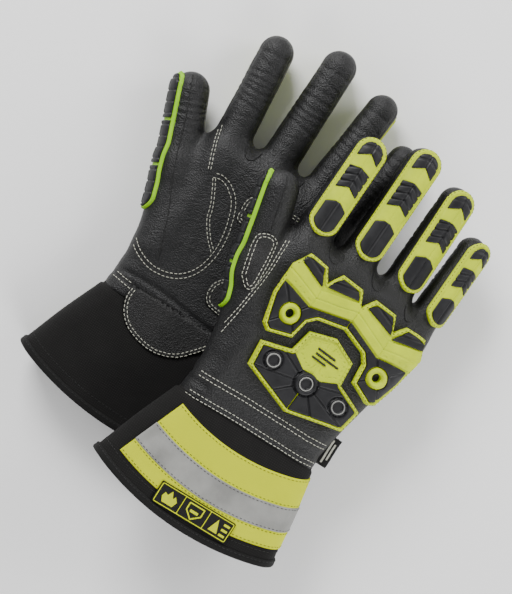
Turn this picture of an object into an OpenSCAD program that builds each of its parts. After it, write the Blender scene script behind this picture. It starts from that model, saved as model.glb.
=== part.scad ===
/* [Hand] */
// Half of the hand's thickness, from the palm to the back
hand_h = 16; // [14:0.5:18]
// Wall thickness of the leather hand, with its padding
hand_wall = 3; // [2:0.25:4]
// Where the leather hand ends and the gauntlet cuff starts
wrist_y = -70; // [-74:1:-66]

/* [Fingers] */
// Wall thickness of a finger
finger_wall = 2; // [1.5:0.1:2.4]
// Thickness of the impact guards on the fingers
finger_guard_h = 3; // [2:0.25:4]
// Width of the impact guards on the fingers
finger_guard_w = 18.7; // [14:0.1:19]
// Angle that each side of a bend is cut back on the palm side
mitre = 42; // [30:1:45]
// Gap at a bend on the back of the finger
bend_gap = 3.4; // [3:0.1:5]

/* [Guards] */
// Thickness of the base of the two guards on the back of the hand
plate_h = 3; // [2:0.25:4]
// How far the rims of those guards stand above their base
rim_h = 1.2; // [0.5:0.1:2]
// How far the black pads stand above the base
pad_h = 2.3; // [1:0.1:3]
// Outer radius of the eyelet rings
eyelet_r = 6.8; // [5:0.1:7.5]
// Radius of the holes in the eyelet rings
eyelet_hole_r = 3; // [2:0.1:4]

/* [Cuff] */
// Wall thickness of the gauntlet cuff
cuff_wall = 2.5; // [2:0.1:3]
// Thickness of the lining inside the cuff
liner_wall = 1.5; // [1:0.1:2]
// Thickness of the high-visibility tape
tape_h = 0.8; // [0.5:0.1:1.2]
// Width of the silver reflective stripe
stripe_w = 17.5; // [12:0.5:20]
// Width of the whole tape
tape_w = 49.5; // [46:0.5:50]
// Width of the binding round the opening
binding_w = 5; // [4:0.5:6]

/* [Laying out] */
// Roll of the upper glove towards its little finger
roll = 15; // [10:1:18]
// Height of the upper glove's middle above the ground
upper_z = 49.5; // [49.5:0.5:60]

/* [Hidden] */
$fn = 48;
leather = "#262629";
tpr_yellow = "#dcea32";
tape_yellow = "#e6e62a";
silver = "#8f8f8a";
fabric = "#2b2928";

// The lower glove's middle is as high as its guards are thick, so it rests on them.
lower_z = hand_h + plate_h + pad_h;
// Place of the lower glove, which lies palm up under the upper one.
lower_x = -79;
lower_y = 28;
// The pair's origin lies on the ground, under the lower glove's back guard.
origin_x = lower_x + 9.5;
origin_y = lower_y - 30;

// A digit is [pivot x, pivot y, length to the tip, radius, length of the first segment,
// roll of its guard, angle in the right glove, angle in the left glove]. For the thumb the
// sixth number also turns its back outwards.
INDEX = [-37, 57, 76, 13.5, 33, -9, -1.5, 5.5];
MIDDLE = [-2.5, 60, 87, 13.5, 36, -6, -1.5, 0];
RING = [31, 58, 80, 12.5, 34, 8, -1, -5];
LITTLE = [57.5, 49, 68, 11.5, 28, 24, -3, -9];
THUMB = [-61, 30, 55, 14, 25, -45, 15, 23];
FINGERS = [INDEX, MIDDLE, RING, LITTLE];

// Outline of the wide guard over the knuckles, from its middle to one side.
knuckle_half = [[0, 35.7], [6, 45.5], [22, 45.5], [27.5, 35], [34, 43.5], [48, 44], [54, 32],
    [53, 10], [47, -10], [42, -13], [25.5, -7], [23.6, 6.5], [18.6, 12], [0, 17.3]];
// Outline of the guard over the back of the hand, from its middle to one side.
back_half = [[0, 10.2], [18, 3.5], [20.5, -12.5], [41, -19.5], [38.5, -37], [0, -48]];
// How far the thumb bends into the hand.
thumb_bend = 45;
// Distance from a digit's pivot to the start of its guard.
guard_start = 2.5;
// The thumb's guard sits further round than the thumb's own back.
thumb_guard_turn = -60;
// Thickness of the patches on the palm.
patch_h = 1;
// The cuff's end, tape and stripe follow arcs round a point in the palm.
cuff_arc_r = 209;
cuff_arc_y = 60;
// Distances from the cuff's end to the tape and to the stripe.
tape_from = 13;
tape_to = tape_from + tape_w;
stripe_from = tape_from + 12;
// Both guards lean a little towards the little finger.
plate_x = 9.5;
plate_lean = -3.7;

function both_sides(half) = concat(half, [for (i = [len(half) - 1:-1:0]) if (half[i][0] > 0)
    [-half[i][0], half[i][1]]]);

module to_origin() translate([-origin_x, -origin_y, 0]) children();
module place_right() to_origin() translate([0, 0, upper_z]) rotate([0, roll, 0]) children();
module place_left() to_origin() translate([lower_x, lower_y, lower_z]) mirror([0, 0, 1]) children();

// The leather hand: one rounded body over the palm, one over the wrist and a mound for the thumb.
module hand_form(grow) {
    r = hand_h - grow;
    hull() for (p = [[-34, -34], [33, -34], [-35, 60], [50.5, 52]])
        translate([p[0], p[1], 0]) sphere(r, $fn = 32);
    hull() for (p = [[-40, wrist_y + 1], [33, wrist_y + 1], [-34, -34], [33, -34]])
        translate([p[0], p[1], 0]) rotate([90, 0, 0]) cylinder(h = 24 + grow, r = r, center = true,
            $fn = 32);
    hull() for (p = [[-34, -44], [-32, 30], [-58, 26], [-42, -30]])
        translate([p[0], p[1], 0]) sphere(r - 1.5, $fn = 32);
}

// Everything on the finger side of a bend, cut back on the palm side.
module beyond_bend(w, back) {
    rotate([90, 0, 90]) translate([0, 0, -w / 2]) linear_extrude(w)
        polygon([[back, 40], [back, 0], [back - 40 * tan(mitre), -40], [120, -40], [120, 40]]);
}

module hand_shell(side) {
    difference() {
        hand_form(0);
        hand_form(hand_wall);
        translate([-100, wrist_y - 60, -40]) cube([200, 60, 80]);
        for (d = FINGERS) at_digit(d, side) {
            beyond_bend(44, -bend_gap / 2);
            along_y() sphere(d[3] - finger_wall);
        }
        at_digit(THUMB, side) thumb_turn() thumb_room();
    }
}

// Room for the thumb, from straight to bent, and for the ball at its root.
module thumb_room() {
    along_y() sphere(THUMB[3] - finger_wall);
    w = THUMB[3] + 0.6;
    h = bend_gap / 2;
    c = cos(thumb_bend);
    s = sin(thumb_bend);
    rotate([90, 0, 90]) translate([0, 0, -w]) linear_extrude(2 * w)
        polygon([[-h, w], [-h, h * (1 / s - 1)], [-h * c - w * s, h * s - w * c],
            [80 * c - w * s, -80 * s - w * c], [80, -80 * s - w * c], [80, w]]);
}

// A digit stands at its pivot, pointing along its own Y, with its back up.
module at_digit(d, side) translate([d[0], d[1], 0]) rotate(d[side]) children();
module at_tip(d, side) at_digit(d, side) translate([0, d[4], 0]) children();

// The thumb's back faces outwards, so it bends across the palm.
module thumb_turn() rotate([0, THUMB[5], 0]) children();

module along_y() rotate([-90, 0, 0]) children();

// The ball that turns inside the segment or the hand behind it.
module bend_ball(r) along_y() sphere(r - finger_wall - 0.5);

// First segment of a digit: a tube with a ball at its root, open at both ends.
module digit_base(d) {
    r = d[3];
    difference() {
        union() {
            intersection() {
                along_y() translate([0, 0, -2 * r]) cylinder(h = d[4] + 2 * r, r = r);
                beyond_own_bend(r);
            }
            bend_ball(r);
        }
        along_y() translate([0, 0, -2 * r]) cylinder(h = 4 * r, r = r - 5);
        along_y() translate([0, 0, 9]) cylinder(h = d[4], r = r - finger_wall);
        translate([0, d[4], 0]) beyond_bend(3 * r, -bend_gap / 2);
    }
}

// Keeps what lies past this digit's own bend.
module beyond_own_bend(r) {
    rotate([90, 0, 90]) translate([0, 0, -2 * r]) linear_extrude(4 * r)
        polygon([[bend_gap / 2, 40], [bend_gap / 2, 0], [bend_gap / 2 + 40 * tan(mitre), -40],
            [120, -40], [120, 40]]);
}

// Last segment of a digit: a tapered tube with a round closed end and a ball at its root.
module digit_tip(d) {
    r = d[3];
    end = d[2] - d[4] - (r - 1.2);
    difference() {
        union() {
            intersection() {
                union() {
                    along_y() cylinder(h = end, r1 = r, r2 = r - 1.2);
                    translate([0, end, 0]) along_y() sphere(r - 1.2);
                }
                beyond_own_bend(r);
            }
            bend_ball(r);
        }
        along_y() translate([0, 0, -2 * r]) cylinder(h = 2 * r + end - 2, r = r - 5);
        translate([0, end - 2, 0]) along_y() sphere(r - 5);
    }
}

module stadium(w, y0, y1) {
    translate([-w / 2, y0 + w / 2]) square([w, y1 - y0 - w]);
    translate([0, y0 + w / 2]) circle(w / 2);
    translate([0, y1 - w / 2]) circle(w / 2);
}

// A guard that follows the back of a digit, between two distances along it.
module digit_guard(d, y0, y1, whole0, whole1) {
    r = d[3];
    w = min(finger_guard_w, 2 * r - 5);
    rotate([0, d[5], 0]) difference() {
        intersection() {
            along_y() cylinder(h = y1 + 20, r = r + finger_guard_h);
            linear_extrude(40) intersection() {
                stadium(w, whole0, whole1);
                translate([-w, y0]) square([2 * w, y1 - y0]);
            }
        }
        along_y() translate([0, 0, -1]) cylinder(h = y1 + 22, r = r);
        // The groove along the middle
        translate([-0.6, y0 - 1, r + finger_guard_h - 0.8]) cube([1.2, y1 - y0 + 2, 5]);
    }
}

// A guard over the first or the last segment, with its end clear of the bends.
module base_guard(d) digit_guard(d, guard_start, d[4] - 2.5, guard_start, d[2] - 2);
module tip_guard(d) translate([0, -d[4], 0])
    digit_guard(d, d[4] + 2.5, d[2] - d[3] + 7, guard_start, d[2] - 2);

module plate(half) translate([plate_x, 0, 0]) rotate(plate_lean) polygon(both_sides(half));
module inner_plate(half) offset(delta = -2) plate(half);

// A four-sided pad under each peak of the knuckle guard, and its mirror image.
module knuckle_pads() {
    for (s = [-1, 1]) translate([plate_x, 0]) rotate(plate_lean) scale([s, 1]) {
        polygon([[5, 31], [10, 43], [20, 42], [25, 32], [18, 28]]);
        polygon([[32, 29], [35, 40], [46, 40], [50, 31], [44, 27]]);
        polygon([[28, 17], [44, 21], [50, 12], [45, -8], [28, -4.5]]);
    }
}

module knuckle_guard() translate([0, 0, hand_h]) {
    difference() {
        union() {
            linear_extrude(plate_h) plate(knuckle_half);
            linear_extrude(plate_h + rim_h) difference() {
                plate(knuckle_half);
                inner_plate(knuckle_half);
            }
            linear_extrude(plate_h + pad_h) difference() {
                knuckle_pads();
                eyelets() circle(eyelet_r);
            }
            linear_extrude(plate_h + pad_h) eyelets() circle(eyelet_r);
        }
        translate([0, 0, -1]) linear_extrude(20) eyelets() circle(eyelet_hole_r);
    }
}

module eyelets() translate([plate_x, 0]) rotate(plate_lean) for (s = [-1, 1])
    translate([s * 36, 4]) children();

module back_guard() translate([0, 0, hand_h]) {
    linear_extrude(plate_h) plate(back_half);
    linear_extrude(plate_h + rim_h) difference() {
        plate(back_half);
        inner_plate(back_half);
    }
    linear_extrude(plate_h + pad_h) intersection() {
        inner_plate(back_half);
        translate([-60, -60]) square([120, 41]);
    }
}

// Reinforcing patches sewn on the palm, one on its heel and one under the knuckles.
module palm_patches() translate([0, 0, -hand_h - patch_h]) linear_extrude(patch_h) {
    hull() for (p = [[14, -33, 9], [36, -29, 9], [36, -40, 9], [14, -38, 9.5]])
        translate([p[0], p[1]]) circle(p[2]);
    hull() for (p = [[3, 23, 13], [33, 22, 14]])
        translate([p[0], p[1]]) circle(p[2]);
}

// The gauntlet cuff, a flat flared tube whose end follows an arc.
module cuff_form(grow) {
    r = hand_h + grow;
    hull() {
        translate([-40, wrist_y + 5, 0]) sphere(r, $fn = 32);
        translate([33, wrist_y + 5, 0]) sphere(r, $fn = 32);
        translate([-80, -165, 0]) sphere(r, $fn = 32);
        translate([52, -165, 0]) sphere(r, $fn = 32);
    }
}

module arc_band(from, to) translate([-3, cuff_arc_y, -60]) difference() {
    cylinder(h = 120, r = cuff_arc_r - from, $fn = 180);
    translate([0, 0, -1]) cylinder(h = 122, r = cuff_arc_r - to, $fn = 180);
}

module below_wrist() translate([-150, wrist_y - 120, -60]) cube([300, 120, 120]);

module cuff() intersection() {
    difference() {
        cuff_form(0);
        cuff_form(-cuff_wall);
    }
    below_wrist();
    arc_band(0, 120);
}

module liner() intersection() {
    difference() {
        cuff_form(-cuff_wall);
        cuff_form(-cuff_wall - liner_wall);
    }
    below_wrist();
    arc_band(4, 120);
}

// A band laid on the outside of the cuff.
module on_cuff(inner, outer, from, to) intersection() {
    difference() {
        cuff_form(outer);
        cuff_form(inner);
    }
    arc_band(from, to);
    below_wrist();
}

module cuff_binding() on_cuff(0, tape_h + 0.6, 0, binding_w);

// The tape covers the back of the cuff and leaves a margin on the thumb's side.
module tape_side() translate([-56, -80, 0]) rotate(-22.8) translate([0, -100, 0])
    cube([260, 300, 60]);
module hivis_tape() intersection() {
    on_cuff(0, tape_h, tape_from, tape_to);
    tape_side();
}
module reflective_stripe() intersection() {
    on_cuff(tape_h, tape_h + 0.5, stripe_from, stripe_from + stripe_w);
    tape_side();
}

module rating_patch() translate([-36, -141, hand_h + tape_h]) difference() {
    cube([57, 15, 0.9]);
    for (x = [3, 21, 39]) translate([x, 2.5, 0.6]) cube([15, 10, 2]);
}

module side_label() translate([49, -66, -0.6]) cube([10, 21, 1.2]);

module right_hand_shell() place_right() color(leather) hand_shell(6);
module right_palm_patches() place_right() color(leather) palm_patches();
module right_cuff() place_right() color(fabric) cuff();
module right_liner() place_right() color(fabric) liner();
module right_cuff_binding() place_right() color(fabric) cuff_binding();
module right_hivis_tape() place_right() color(tape_yellow) hivis_tape();
module right_reflective_stripe() place_right() color(silver) reflective_stripe();
module right_rating_patch() place_right() color(fabric) rating_patch();
module right_side_label() place_right() color(fabric) side_label();
module right_knuckle_guard() place_right() color(tpr_yellow) knuckle_guard();
module right_back_guard() place_right() color(tpr_yellow) back_guard();
module right_index_base() place_right() at_digit(INDEX, 6) color(leather) digit_base(INDEX);
module right_index_tip() place_right() at_tip(INDEX, 6) color(leather) digit_tip(INDEX);
module right_index_base_guard() place_right() at_digit(INDEX, 6) color(tpr_yellow) base_guard(INDEX);
module right_index_tip_guard() place_right() at_tip(INDEX, 6) color(tpr_yellow) tip_guard(INDEX);
module right_middle_base() place_right() at_digit(MIDDLE, 6) color(leather) digit_base(MIDDLE);
module right_middle_tip() place_right() at_tip(MIDDLE, 6) color(leather) digit_tip(MIDDLE);
module right_middle_base_guard() place_right() at_digit(MIDDLE, 6) color(tpr_yellow) base_guard(MIDDLE);
module right_middle_tip_guard() place_right() at_tip(MIDDLE, 6) color(tpr_yellow) tip_guard(MIDDLE);
module right_ring_base() place_right() at_digit(RING, 6) color(leather) digit_base(RING);
module right_ring_tip() place_right() at_tip(RING, 6) color(leather) digit_tip(RING);
module right_ring_base_guard() place_right() at_digit(RING, 6) color(tpr_yellow) base_guard(RING);
module right_ring_tip_guard() place_right() at_tip(RING, 6) color(tpr_yellow) tip_guard(RING);
module right_little_base() place_right() at_digit(LITTLE, 6) color(leather) digit_base(LITTLE);
module right_little_tip() place_right() at_tip(LITTLE, 6) color(leather) digit_tip(LITTLE);
module right_little_base_guard() place_right() at_digit(LITTLE, 6) color(tpr_yellow) base_guard(LITTLE);
module right_little_tip_guard() place_right() at_tip(LITTLE, 6) color(tpr_yellow) tip_guard(LITTLE);
module right_thumb_base() place_right() at_digit(THUMB, 6) thumb_turn() color(leather) digit_base(THUMB);
module right_thumb_tip() place_right() at_tip(THUMB, 6) thumb_turn() color(leather) digit_tip(THUMB);
module right_thumb_guard() place_right() at_tip(THUMB, 6) rotate([0, thumb_guard_turn, 0])
    color(tpr_yellow) tip_guard(THUMB);
module left_hand_shell() place_left() color(leather) hand_shell(7);
module left_palm_patches() place_left() color(leather) palm_patches();
module left_cuff() place_left() color(fabric) cuff();
module left_liner() place_left() color(fabric) liner();
module left_cuff_binding() place_left() color(fabric) cuff_binding();
module left_hivis_tape() place_left() color(tape_yellow) hivis_tape();
module left_reflective_stripe() place_left() color(silver) reflective_stripe();
module left_rating_patch() place_left() color(fabric) rating_patch();
module left_side_label() place_left() color(fabric) side_label();
module left_knuckle_guard() place_left() color(tpr_yellow) knuckle_guard();
module left_back_guard() place_left() color(tpr_yellow) back_guard();
module left_index_base() place_left() at_digit(INDEX, 7) color(leather) digit_base(INDEX);
module left_index_tip() place_left() at_tip(INDEX, 7) color(leather) digit_tip(INDEX);
module left_index_base_guard() place_left() at_digit(INDEX, 7) color(tpr_yellow) base_guard(INDEX);
module left_index_tip_guard() place_left() at_tip(INDEX, 7) color(tpr_yellow) tip_guard(INDEX);
module left_middle_base() place_left() at_digit(MIDDLE, 7) color(leather) digit_base(MIDDLE);
module left_middle_tip() place_left() at_tip(MIDDLE, 7) color(leather) digit_tip(MIDDLE);
module left_middle_base_guard() place_left() at_digit(MIDDLE, 7) color(tpr_yellow) base_guard(MIDDLE);
module left_middle_tip_guard() place_left() at_tip(MIDDLE, 7) color(tpr_yellow) tip_guard(MIDDLE);
module left_ring_base() place_left() at_digit(RING, 7) color(leather) digit_base(RING);
module left_ring_tip() place_left() at_tip(RING, 7) color(leather) digit_tip(RING);
module left_ring_base_guard() place_left() at_digit(RING, 7) color(tpr_yellow) base_guard(RING);
module left_ring_tip_guard() place_left() at_tip(RING, 7) color(tpr_yellow) tip_guard(RING);
module left_little_base() place_left() at_digit(LITTLE, 7) color(leather) digit_base(LITTLE);
module left_little_tip() place_left() at_tip(LITTLE, 7) color(leather) digit_tip(LITTLE);
module left_little_base_guard() place_left() at_digit(LITTLE, 7) color(tpr_yellow) base_guard(LITTLE);
module left_little_tip_guard() place_left() at_tip(LITTLE, 7) color(tpr_yellow) tip_guard(LITTLE);
module left_thumb_base() place_left() at_digit(THUMB, 7) thumb_turn() color(leather) digit_base(THUMB);
module left_thumb_tip() place_left() at_tip(THUMB, 7) thumb_turn() color(leather) digit_tip(THUMB);
module left_thumb_guard() place_left() at_tip(THUMB, 7) rotate([0, thumb_guard_turn, 0])
    color(tpr_yellow) tip_guard(THUMB);

right_hand_shell();
right_palm_patches();
right_cuff();
right_liner();
right_cuff_binding();
right_hivis_tape();
right_reflective_stripe();
right_rating_patch();
right_side_label();
right_knuckle_guard();
right_back_guard();
right_index_base();
right_index_tip();
right_index_base_guard();
right_index_tip_guard();
right_middle_base();
right_middle_tip();
right_middle_base_guard();
right_middle_tip_guard();
right_ring_base();
right_ring_tip();
right_ring_base_guard();
right_ring_tip_guard();
right_little_base();
right_little_tip();
right_little_base_guard();
right_little_tip_guard();
right_thumb_base();
right_thumb_tip();
right_thumb_guard();
left_hand_shell();
left_palm_patches();
left_cuff();
left_liner();
left_cuff_binding();
left_hivis_tape();
left_reflective_stripe();
left_rating_patch();
left_side_label();
left_knuckle_guard();
left_back_guard();
left_index_base();
left_index_tip();
left_index_base_guard();
left_index_tip_guard();
left_middle_base();
left_middle_tip();
left_middle_base_guard();
left_middle_tip_guard();
left_ring_base();
left_ring_tip();
left_ring_base_guard();
left_ring_tip_guard();
left_little_base();
left_little_tip();
left_little_base_guard();
left_little_tip_guard();
left_thumb_base();
left_thumb_tip();
left_thumb_guard();
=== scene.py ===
"""A pair of black leather impact gloves with gauntlet cuffs, laid over each other."""
import math

import bpy
import numpy as np
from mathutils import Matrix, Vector


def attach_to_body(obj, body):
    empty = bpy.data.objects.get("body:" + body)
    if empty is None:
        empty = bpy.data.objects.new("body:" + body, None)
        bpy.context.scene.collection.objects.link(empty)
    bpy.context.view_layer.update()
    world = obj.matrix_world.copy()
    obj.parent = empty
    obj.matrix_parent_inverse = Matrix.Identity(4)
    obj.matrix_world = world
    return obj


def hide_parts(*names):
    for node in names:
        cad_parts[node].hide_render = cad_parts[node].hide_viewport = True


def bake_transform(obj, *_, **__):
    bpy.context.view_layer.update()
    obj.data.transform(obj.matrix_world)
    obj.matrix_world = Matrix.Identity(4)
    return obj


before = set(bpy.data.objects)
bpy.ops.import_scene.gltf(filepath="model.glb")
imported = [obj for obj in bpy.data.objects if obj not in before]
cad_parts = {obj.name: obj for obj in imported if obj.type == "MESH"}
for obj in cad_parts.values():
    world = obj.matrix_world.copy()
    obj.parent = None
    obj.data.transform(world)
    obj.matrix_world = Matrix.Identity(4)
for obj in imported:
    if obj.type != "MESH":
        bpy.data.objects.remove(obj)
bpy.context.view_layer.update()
RNG = np.random.default_rng(7)

# Sizes in millimetres, in one glove's own frame: X to the little finger, Y to the fingertips and
# Z to the back of the hand. place() takes them to the frame of the row.
MM = 0.001
ROLL = math.radians(15)
RIGHT_AT = (69.5, 2.0, 49.5)
LEFT_AT = (-9.5, 30.0, 21.3)
SIDES = ("right", "left")
HAND_R = 15.7  # half the thickness of the hand
WRIST_Y = -71.0  # where the leather ends inside the cuff
CUFF_R = 15.9  # half the thickness of the cuff
ARC = (-3.0, 60.0)  # the cuff's edges are arcs round this point
ARC_R = 209.0  # and its opening is this far from it

# name, pivot x, pivot y, length, radius, length of the first segment, roll of the guard,
# angle of the right one and of the left one in degrees
DIGITS = [
    ("index", -37, 57, 76, 13.3, 33, -9, -1.5, 5.5),
    ("middle", -2.5, 60, 87, 13.3, 36, -6, -1.5, 0),
    ("ring", 31, 58, 80, 12.3, 34, 8, -1, -5),
    ("little", 57.5, 49, 68, 11.3, 28, 24, -3, -9),
    ("thumb", -61, 30, 55, 13.8, 25, -105, 15, 23),
]
THUMB_BEND_DIR = np.array([-0.667, 0.745])  # across the thumb's two hinges


def place(side, p):
    """Points of a glove's own frame, in millimetres, in the frame of the row, in metres."""
    p = np.asarray(p, float)
    if side == "right":
        c, s = math.cos(ROLL), math.sin(ROLL)
        q = np.stack([p[..., 0] * c + p[..., 2] * s, p[..., 1], -p[..., 0] * s + p[..., 2] * c], -1)
        return (q + np.array(RIGHT_AT)) * MM
    q = np.stack([p[..., 0], p[..., 1], -p[..., 2]], -1)
    return (q + np.array(LEFT_AT)) * MM


class Digit:
    """One digit of one glove: its pivot, its axis in the plane of the hand, and where it bends."""

    def __init__(self, row, side):
        self.name, px, py, self.length, self.r, self.base, self.roll, right, left = row
        a = math.radians(right if side == "right" else left)
        self.pivot = np.array([px, py], float)
        self.along = np.array([-math.sin(a), math.cos(a)])
        self.across = np.array([math.cos(a), math.sin(a)])
        self.bend = THUMB_BEND_DIR if self.name == "thumb" else self.along
        # The first joint's span runs from t0 to t1, and the second one's from t1 to t2; the leather is cut at
        # t1.
        if self.name == "thumb":
            self.t0, self.t1, self.t2 = 4.0, 17.5, 30.0
        else:
            self.t0, self.t1, self.t2 = 1.0, 0.62 * self.base, self.base + 9.0
        self.tip_r = self.r - 1.2

    def on_axis(self, s):
        """Points on the digit's axis, at distances s from its pivot."""
        xy = self.pivot + s[:, None] * self.along
        return np.concatenate([xy, np.zeros((len(s), 1))], -1)


HANDS = {side: [Digit(row, side) for row in DIGITS] for side in SIDES}


# ---- distance fields ----
def sd_poly(p, poly):
    """Signed distance to a polygon in the plane, below 0 inside."""
    p = np.asarray(p, float)
    best = np.full(p.shape[:-1], 1e9)
    inside = np.zeros(p.shape[:-1], bool)
    n = len(poly)
    for i in range(n):
        a, b = np.array(poly[i], float), np.array(poly[(i + 1) % n], float)
        e, w = b - a, p - a
        t = np.clip((w @ e) / (e @ e), 0, 1)
        best = np.minimum(best, ((w - t[..., None] * e) ** 2).sum(-1))
        if e[1] != 0:
            above = (a[1] <= p[..., 1]) != (b[1] <= p[..., 1])
            inside ^= above & (p[..., 0] < a[0] + (p[..., 1] - a[1]) * e[0] / e[1])
    return np.where(inside, -1, 1) * np.sqrt(best)


def cone(p, a, b, ra, rb):
    """Signed distance to a capsule from a to b whose radius goes from ra to rb."""
    a, b = np.array(a, float), np.array(b, float)
    e, w = b - a, p - a
    t = np.clip((w @ e) / (e @ e), 0, 1)
    return np.linalg.norm(w - t[..., None] * e, axis=-1) - (ra + (rb - ra) * t)


def to_line(p, a, b):
    """Distance to a segment in the plane."""
    return cone(p, a, b, 0, 0)


def smin(a, b, k):
    """The smaller of a and b, rounded over k where they cross."""
    h = np.clip(0.5 + 0.5 * (b - a) / k, 0, 1)
    return b + (a - b) * h - k * h * (1 - h)


PALM_CORE = [(-41.2, -90), (-41, -72), (-40, -55), (-39.5, -35), (-34.5, 0), (-35, 28), (-36.5, 43),
             (-20, 44), (5, 45.5), (34, 43), (52, 36), (51.5, 28), (46.5, 4), (37.5, -33),
             (33.6, -55), (33.2, -72), (33.2, -90)]
WEB_R, THUMB_ROOT_R = 9.5, 14.2
WEB_CORE = [(-36, -26), (-57, 24), (-46, 36), (-36, 36)]


def hand_sdf(p, side):
    """The glove's leather hand with its digits, without the cuff."""
    d2 = sd_poly(p[..., :2], PALM_CORE)
    palm = np.hypot(np.maximum(d2, 0), p[..., 2]) - HAND_R
    palm = np.where(d2 < 0, np.abs(p[..., 2]) - HAND_R, palm)
    web2 = sd_poly(p[..., :2], WEB_CORE)
    web = np.hypot(np.maximum(web2, 0), p[..., 2]) - WEB_R
    fingers = None
    for d in HANDS[side]:
        back = 14 if d.name == "thumb" else 22
        one = cone(p, (*(d.pivot - back * d.along), 0),
                   (*(d.pivot + (d.length - d.tip_r) * d.along), 0), d.r, d.tip_r)
        if d.name == "thumb":
            root = cone(p, (-41, -32, -1), (-58, 22, 0), THUMB_ROOT_R, THUMB_ROOT_R)
            thumb = smin(smin(one, root, 5), web, 6)
        else:
            fingers = one if fingers is None else np.minimum(fingers, one)
    return smin(smin(palm, fingers, 7), thumb, 7)


def skin(side):
    """hand_sdf of one glove."""
    return lambda p: hand_sdf(p, side)


def gradient(f, p, h=0.15):
    """The direction in which f grows."""
    g = np.stack([f(p + h * np.eye(p.shape[-1])[i]) - f(p - h * np.eye(p.shape[-1])[i])
                  for i in range(p.shape[-1])], -1)
    return g / np.maximum(np.linalg.norm(g, axis=-1, keepdims=True), 1e-9)


# The longest way out of the hand, and the most that a stitch's points are apart
RAY = 26.0
PATH_STEP = 1.2


def cast(f, origin, direction):
    """Where rays from inside the solid f leave it."""
    lo, hi = np.zeros(origin.shape[:-1]), np.full(origin.shape[:-1], RAY)
    for _ in range(15):
        mid = (lo + hi) / 2
        inside = f(origin + mid[..., None] * direction) < 0
        lo, hi = np.where(inside, mid, lo), np.where(inside, hi, mid)
    return origin + lo[..., None] * direction


WAVES = [(RNG.normal(size=3) * (0.06 + 0.05 * i), RNG.uniform(0, 6.28), 1.0 / (1 + 0.4 * i))
         for i in range(9)]


def ripple(p):
    """Slow unevenness of leather, from about -1 to 1."""
    return sum(a * np.sin(p @ k + f) for k, f, a in WAVES) / 3.5


# ---- meshes ----
def surface_nets(f, low, high, step):
    """Quads round the solid f < 0, from its values on a grid."""
    axes = [np.arange(low[i], high[i] + step, step) for i in range(3)]
    grid = np.stack(np.meshgrid(*axes, indexing="ij"), -1)
    v = f(grid.reshape(-1, 3)).reshape(grid.shape[:-1])
    cells = tuple(n - 1 for n in v.shape)
    total, count = np.zeros(cells + (3,)), np.zeros(cells)
    for axis in range(3):
        others = [i for i in range(3) if i != axis]
        for oa in (0, 1):
            for ob in (0, 1):
                off = [0, 0, 0]
                off[others[0]], off[others[1]] = oa, ob
                first = v[tuple(slice(o, o + n) for o, n in zip(off, cells))]
                off[axis] = 1
                second = v[tuple(slice(o, o + n) for o, n in zip(off, cells))]
                cross = (first < 0) != (second < 0)
                at = np.zeros(cells + (3,))
                at[..., others[0]], at[..., others[1]] = oa, ob
                with np.errstate(divide="ignore", invalid="ignore"):
                    at[..., axis] = np.where(cross, first / (first - second), 0)
                total[cross] += at[cross]
                count[cross] += 1
    used = count > 0
    index = np.full(cells, -1)
    index[used] = np.arange(used.sum())
    where = np.argwhere(used)
    verts = np.array(low) + (where + total[used] / count[used][:, None]) * step
    quads = []
    for axis in range(3):
        b, c = (axis + 1) % 3, (axis + 2) % 3
        sl = [slice(1, -1)] * 3
        sl[axis] = slice(0, -1)
        nx = list(sl)
        nx[axis] = slice(1, None)
        f0, f1 = v[tuple(sl)] < 0, v[tuple(nx)] < 0
        for flip in (False, True):
            ijk = np.argwhere((f0 != f1) & (f1 if flip else f0))
            if not len(ijk):
                continue
            add = np.ones(3, int)
            add[axis] = 0
            ijk = ijk + add
            corners = []
            for db, dc in ((-1, -1), (0, -1), (0, 0), (-1, 0)):
                k = ijk.copy()
                k[:, b] += db
                k[:, c] += dc
                corners.append(index[k[:, 0], k[:, 1], k[:, 2]])
            q = np.stack(corners[::-1] if flip else corners, 1)
            quads.append(q[(q >= 0).all(1)])
    return verts, np.concatenate(quads)


def label(side, p):
    """0 for the hand, or 1 + 2 * digit for its first segment and 2 + 2 * digit for its last."""
    out = np.zeros(len(p), int)
    best = np.full(len(p), 1e9)
    for i, d in enumerate(HANDS[side]):
        w = p[:, :2] - d.pivot
        t, lat = w @ d.bend, w @ d.across
        inner = -(d.r + 0.4) if d.name == "little" else -(d.r + 9)
        outer = d.r + (1.8 if d.name == "thumb" else 9)
        here = (t > d.t0) & (lat > inner) & (lat < outer) & (np.abs(lat) < best)
        best[here] = np.abs(lat)[here]
        out[here] = np.where(t[here] < d.t1, 1 + 2 * i, 2 + 2 * i)
    return out


def attach(obj, side, which):
    """The piece follows the hand, or, on a digit, only has its transform baked into its mesh."""
    if which == 0:
        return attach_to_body(obj, f"{side}_glove")
    d = HANDS[side][(which - 1) // 2]
    lower, upper = f"{side}_{d.name}_lower", f"{side}_{d.name}_upper"

    def at(t):
        p = d.pivot + d.bend * t
        return tuple(place(side, np.array([p[0], p[1], 0.0])))

    if which % 2:
        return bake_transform(obj, f"{side}_glove", lower, at(d.t0), at(d.t1 - 0.5))
    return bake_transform(obj, lower, upper, at(d.t1 + 0.5), at(d.t2))


def part_name(side, which):
    if which == 0:
        return f"{side}_hand"
    return f"{side}_{HANDS[side][(which - 1) // 2].name}_{'base' if which % 2 else 'tip'}"


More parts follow.
